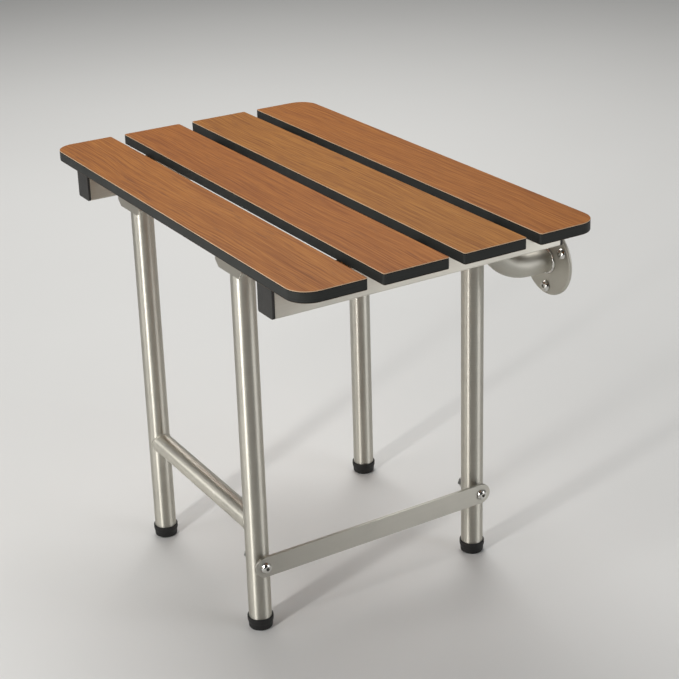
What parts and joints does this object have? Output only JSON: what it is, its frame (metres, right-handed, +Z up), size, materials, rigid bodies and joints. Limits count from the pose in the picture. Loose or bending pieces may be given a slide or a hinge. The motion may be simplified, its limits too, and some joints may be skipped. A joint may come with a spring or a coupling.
{
  "type": "shower seat",
  "caption": "Wall-mounted fold-up shower seat: wood-look slats on two steel rails, hinged to bent wall arms, with swinging tube legs, a cross tube and a link bar.",
  "frame": {"origin": "on the floor at the centre of the box round the seat and its wall flanges", "axes": "+X along the slats, to the right of someone who faces the wall; +Y towards the wall; +Z up"},
  "size_m": [0.61, 0.388, 0.478],
  "materials": {
    "slat_laminate": "satin teak pattern over a black core",
    "stainless_steel": "satin",
    "polished_steel": "polished",
    "black_plastic": "matte",
    "black_rubber": "matte"
  },
  "bodies": {
    "wall_mount": {"wall_flange_left": "stainless_steel", "wall_flange_right": "stainless_steel", "wall_arm_left": "stainless_steel", "wall_arm_right": "stainless_steel", "hinge_lug_left": "stainless_steel", "hinge_lug_right": "stainless_steel", "hinge_rod": "stainless_steel", "hinge_rod_nut": "stainless_steel", "wall_screw_1_left": "polished_steel", "wall_screw_2_left": "polished_steel", "wall_screw_3_left": "polished_steel", "wall_screw_1_right": "polished_steel", "wall_screw_2_right": "polished_steel", "wall_screw_3_right": "polished_steel"},
    "seat": {"seat_slat_1": "slat_laminate", "seat_slat_2": "slat_laminate", "seat_slat_3": "slat_laminate", "seat_slat_4": "slat_laminate", "side_rail_left": "stainless_steel", "side_rail_right": "stainless_steel", "rail_cap_front_left": "black_plastic", "rail_cap_rear_left": "black_plastic", "rail_cap_front_right": "black_plastic", "rail_cap_rear_right": "black_plastic", "leg_bracket_left": "stainless_steel", "leg_bracket_right": "stainless_steel", "pivot_pin_left": "polished_steel", "pivot_pin_right": "polished_steel", "bracket_screw_1_left": "polished_steel", "bracket_screw_2_left": "polished_steel", "bracket_screw_1_right": "polished_steel", "bracket_screw_2_right": "polished_steel", "slat_screw_1_left": "stainless_steel", "slat_screw_2_left": "stainless_steel", "slat_screw_3_left": "stainless_steel", "slat_screw_4_left": "stainless_steel", "slat_screw_1_right": "stainless_steel", "slat_screw_2_right": "stainless_steel", "slat_screw_3_right": "stainless_steel", "slat_screw_4_right": "stainless_steel"},
    "front_legs": {"leg_front_left": "stainless_steel", "leg_front_right": "stainless_steel", "front_cross_tube": "stainless_steel", "foot_front_left": "black_rubber", "foot_front_right": "black_rubber", "leg_bush_front_left": "black_plastic", "leg_bush_front_right": "black_plastic", "link_bolt_front": "polished_steel", "link_nut_front": "polished_steel"},
    "rear_legs": {"leg_rear_left": "stainless_steel", "leg_rear_right": "stainless_steel", "rear_axle_tube": "stainless_steel", "foot_rear_left": "black_rubber", "foot_rear_right": "black_rubber", "leg_bush_rear_left": "black_plastic", "leg_bush_rear_right": "black_plastic", "link_bolt_rear": "polished_steel", "link_nut_rear": "polished_steel"},
    "link": {"link_bar": "stainless_steel"}
  },
  "joints": [
    {"name": "seat_hinge", "type": "hinge", "parent": "wall_mount", "child": "seat", "pos_m": [0, 0.141, 0.4505], "axis": [-1, 0, 0], "range_deg": [0, 84]},
    {"name": "leg_fold", "type": "hinge", "parent": "seat", "child": "front_legs", "pos_m": [0, -0.159, 0.4505], "axis": [1, 0, 0], "range_deg": [0, 84]},
    {"name": "rear_leg_fold", "type": "hinge", "parent": "seat", "child": "rear_legs", "pos_m": [0, 0.141, 0.4505], "axis": [1, 0, 0], "range_deg": [0, 84]},
    {"name": "link_swing", "type": "hinge", "parent": "front_legs", "child": "link", "pos_m": [0.14275, -0.159, 0.086], "axis": [1, 0, 0], "range_deg": [-84, 0]}
  ],
  "couplings": [
    {"joint": "rear_leg_fold", "follows": "leg_fold", "ratio": 1},
    {"joint": "link_swing", "follows": "leg_fold", "ratio": -1}
  ]
}
